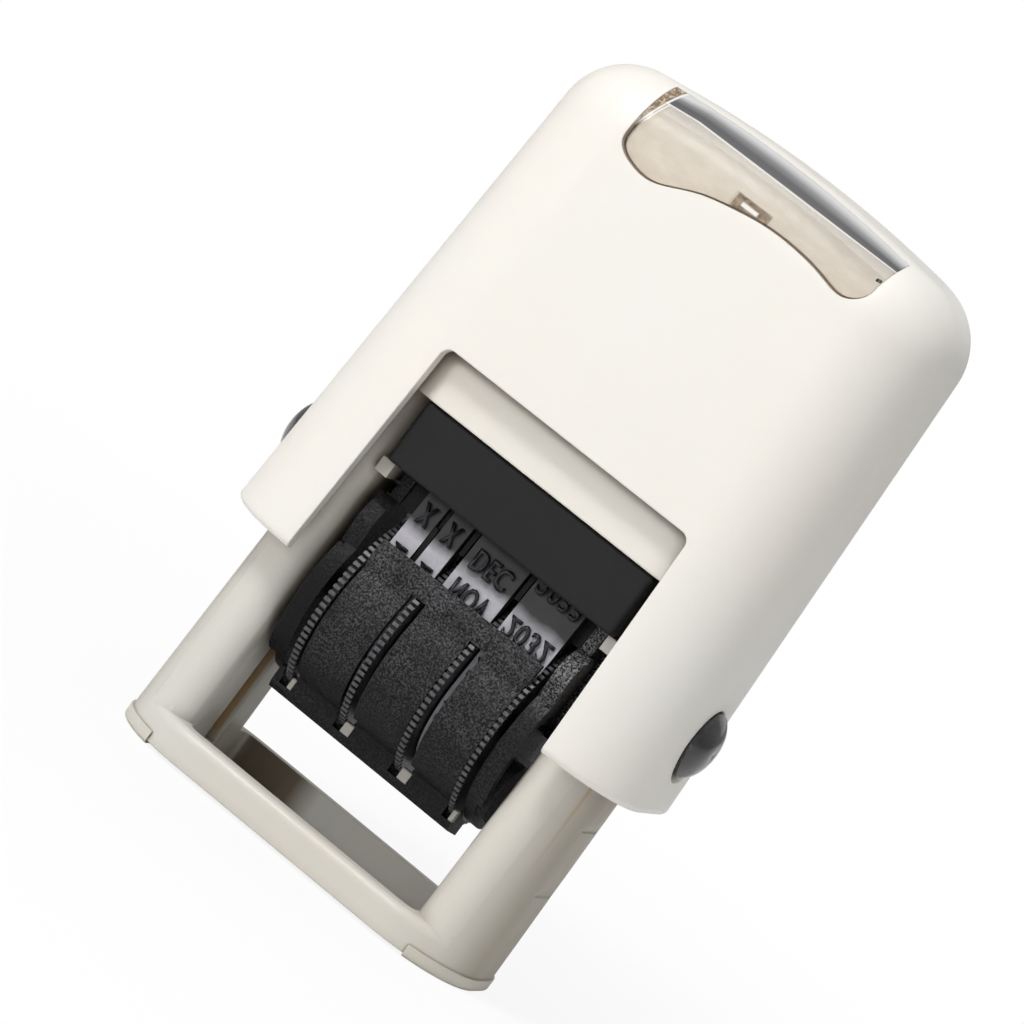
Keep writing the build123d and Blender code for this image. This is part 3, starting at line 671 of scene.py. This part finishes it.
MONTHS = ["DEC", "NOV", "OCT", "SEP", "AUG", "JUL", "JUN", "MAY", "APR", "MAR", "FEB", "JAN"]
YEARS = ["2032", "2031", "2030", "2029", "2028", "2027", "2026", "2033"]
TENS = ["X", "2", "1", "0", "X", "3", "2", "1", "0", "3"]
UNITS = ["X", "2", "3", "4", "5", "6", "7", "8", "9", "0"]

# name, band, texts, least pitch, height of the first row on the front side, greatest width
TYPE_BANDS = [
    ("day_tens_type", "day_tens_band", TENS, 4.3, 31.8, 1.35),
    ("day_units_type", "day_units_band", UNITS, 4.3, 31.8, 1.35),
    ("month_type", "month_band", MONTHS, 3.12, 31.55, 4.0),
    ("year_type", "year_band", YEARS, 4.7, 28.7, 4.9),
]


def glyph_mesh(text, width):
    """Flat mesh of a string, centred, TYPE_HEIGHT high and at most width wide."""
    curve = bpy.data.curves.new("type_tmp", "FONT")
    curve.body = text
    curve.size = 1.0
    curve.resolution_u = 3
    curve.space_character = 1.06
    curve.offset = 0.020
    writing = bpy.data.objects.new("type_tmp", curve)
    bpy.context.collection.objects.link(writing)
    depsgraph = bpy.context.evaluated_depsgraph_get()
    mesh = bpy.data.meshes.new_from_object(writing.evaluated_get(depsgraph))
    bpy.data.objects.remove(writing)
    bpy.data.curves.remove(curve)

    xs = [vertex.co.x for vertex in mesh.vertices]
    ys = [vertex.co.y for vertex in mesh.vertices]
    middle_x, middle_y = (min(xs) + max(xs)) / 2, (min(ys) + max(ys)) / 2
    scale_x = min(TYPE_HEIGHT / CAP_HEIGHT, width / max(1e-6, max(xs) - min(xs)))
    scale_y = TYPE_HEIGHT / max(1e-6, max(ys) - min(ys))
    for vertex in mesh.vertices:
        vertex.co.x = (vertex.co.x - middle_x) * scale_x
        vertex.co.y = (vertex.co.y - middle_y) * scale_y
    return mesh


def raised_row(text, width, middle_x, distance):
    """Mesh of one row of type, raised and wrapped on to the loop, in metres."""
    flat = glyph_mesh(text, width)
    row = bmesh.new()
    row.from_mesh(flat)
    bpy.data.meshes.remove(flat)
    bmesh.ops.remove_doubles(row, verts=row.verts, dist=0.004)
    bmesh.ops.dissolve_degenerate(row, edges=row.edges, dist=0.003)
    bmesh.ops.triangulate(row, faces=row.faces)
    row.faces.ensure_lookup_table()
    row.normal_update()
    if row.faces[0].normal.z < 0:
        bmesh.ops.reverse_faces(row, faces=row.faces)
    raised = bmesh.ops.extrude_face_region(row, geom=list(row.faces), use_keep_orig=True)
    face_verts = {item for item in raised["geom"] if isinstance(item, bmesh.types.BMVert)}
    for vertex in row.verts:
        # the letters' up runs backwards along the path, which mirrors them
        point, outward = on_path(distance - vertex.co.y)
        point = point + outward * (RELIEF if vertex in face_verts else -SINK)
        vertex.co = Vector(((middle_x + vertex.co.x) * MM, point.x * MM, point.y * MM))
    mesh = bpy.data.meshes.new("tmp")
    row.to_mesh(mesh)
    row.free()
    return mesh


def type_for_band(name, band, texts, pitch, first_z, widest):
    low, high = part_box(band)
    middle_x = (low[0] + high[0]) / 2 / MM
    room = (high[0] - low[0]) / MM - SIDE_MARGINS
    first = first_z - PATH[0].y
    count = int(LOOP_LENGTH // pitch)
    step = LOOP_LENGTH / count
    rows = bmesh.new()
    for k in range(count):
        row = k if k <= count // 2 else k - count      # counted up and down from the first
        text = texts[-row % len(texts)]
        width = min(room, widest * (NARROW_ONE if text == "1" else 1.0))
        mesh = raised_row(text, width, middle_x, first + k * step)
        rows.from_mesh(mesh)
        bpy.data.meshes.remove(mesh)
    bmesh.ops.recalc_face_normals(rows, faces=rows.faces)
    mesh = bpy.data.meshes.new(name)
    rows.to_mesh(mesh)
    rows.free()
    band_type = bpy.data.objects.new(name, mesh)
    bpy.context.collection.objects.link(band_type)
    mesh.materials.append(looks["type"])
    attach(band_type, "carrier")


for entry in TYPE_BANDS:
    type_for_band(*entry)


# ------------------------------------------------------------------ floor and world
def floor_material():
    """Pale floor that, seen by the camera, glows to white away from the object."""
    mat = new_material("pale_floor")
    distance = mat.node("VectorMath", {0: mat.place}, operation="LENGTH").outputs["Value"]
    far = mat.rise(distance, (0.035, 0.16))
    tone = mat.noise(per_mm=0.02)
    pale = mat.node("BsdfDiffuse", {
        "Color": mat.mix(tone, (0.86, 0.86, 0.855), (0.90, 0.90, 0.895))}).outputs[0]
    glow = mat.node("Emission", {"Color": (1, 1, 1), "Strength": 1.0}).outputs[0]
    camera_ray = mat.node("LightPath").outputs["Is Camera Ray"]
    glowing = mat.product(mat.remap(far, (0.0, 1.0), to=(0.88, 1.0)), camera_ray)
    return mat.finish(mat.mix_shader(glowing, pale, glow))


def studio_world():
    """White to the camera; a soft grey gradient, brighter above, as light."""
    sky = Graph(bpy.data.worlds.new("studio"), output="OutputWorld", space="Generated")
    seen = sky.node("Background", {"Color": (1, 1, 1), "Strength": 1.0}).outputs[0]
    height = sky.rise(sky.axes(sky.place)[2], (-1.0, 1.0))
    gradient = sky.ramp(height, [
        (0.0, (0.30, 0.29, 0.28)), (0.42, (0.42, 0.41, 0.40)),
        (0.60, (0.62, 0.62, 0.62)), (1.0, (1.0, 1.0, 1.0))])
    light = sky.node("Background", {"Color": gradient, "Strength": 0.54}).outputs[0]
    camera_ray = sky.node("LightPath").outputs["Is Camera Ray"]
    return sky.finish(sky.mix_shader(camera_ray, light, seen))


bpy.ops.mesh.primitive_circle_add(vertices=96, radius=3.0, fill_type="NGON",
                                  location=(0, 0, -0.00002))
floor = bpy.context.object
floor.name = "floor"
floor.data.materials.append(floor_material())
bpy.context.scene.world = studio_world()

# ------------------------------------------------------------------ lights
LIGHT_TARGET = Vector((0, 0, 0.04))
# name, azimuth, elevation (degrees), distance, size (metres), watts, colour
LIGHTS = [
    ("key", -28, 50, 0.60, 0.13, 1.75, (1.0, 0.998, 0.99)),
    ("top", -10, 80, 0.55, 0.40, 0.42, (1.0, 1.0, 1.0)),
    ("front_low", -27, 13, 0.70, 0.12, 0.62, (1.0, 0.996, 0.988)),
    ("front_fill", 20, 12, 0.85, 0.60, 0.34, (1.0, 0.995, 0.985)),
    ("back_fill", 165, 30, 0.80, 0.60, 0.45, (1.0, 0.99, 0.98)),
]


def direction(azimuth, elevation):
    """Unit vector out from the object, in degrees; azimuth 0 is in front, positive right."""
    azimuth, elevation = math.radians(azimuth), math.radians(elevation)
    return Vector((math.sin(azimuth) * math.cos(elevation),
                   -math.cos(azimuth) * math.cos(elevation), math.sin(elevation)))


def soft_box(name, azimuth, elevation, distance, size, watts, colour):
    light = bpy.data.lights.new(name, "AREA")
    light.energy = watts
    light.color = colour
    light.size = size
    lamp = bpy.data.objects.new(name, light)
    bpy.context.collection.objects.link(lamp)
    outward = direction(azimuth, elevation)
    lamp.location = LIGHT_TARGET + outward * distance
    lamp.rotation_euler = (-outward).to_track_quat("-Z", "Y").to_euler()


for entry in LIGHTS:
    soft_box(*entry)

# ------------------------------------------------------------------ camera
CAMERA_AZIMUTH, CAMERA_ELEVATION, CAMERA_ROLL = 15.83, 6.5, 36.69      # degrees
CAMERA_DISTANCE = 0.51903
CAMERA_TARGET = Vector((-0.0034, 0.0, 0.03598))
SENSOR_WIDTH, FOCAL_LENGTH = 36.0, 202.2496875                         # millimetres


def add_camera():
    lens = bpy.data.cameras.new("camera")
    lens.sensor_width = SENSOR_WIDTH
    lens.lens = FOCAL_LENGTH
    lens.clip_start = 0.01
    lens.clip_end = 20
    camera = bpy.data.objects.new("camera", lens)
    bpy.context.collection.objects.link(camera)

    azimuth, roll = math.radians(CAMERA_AZIMUTH), math.radians(CAMERA_ROLL)
    back = direction(CAMERA_AZIMUTH, CAMERA_ELEVATION)
    level = Vector((math.cos(azimuth), math.sin(azimuth), 0))
    upright = back.cross(level)
    right = level * math.cos(roll) + upright * math.sin(roll)
    up = level * -math.sin(roll) + upright * math.cos(roll)
    pose = Matrix((right, up, back)).transposed().to_4x4()
    pose.translation = CAMERA_TARGET + back * CAMERA_DISTANCE
    camera.matrix_world = pose
    bpy.context.scene.camera = camera


add_camera()

view = bpy.context.scene.view_settings
view.view_transform = "Standard"
view.look = "None"
view.exposure = 0.0
view.gamma = 1.0
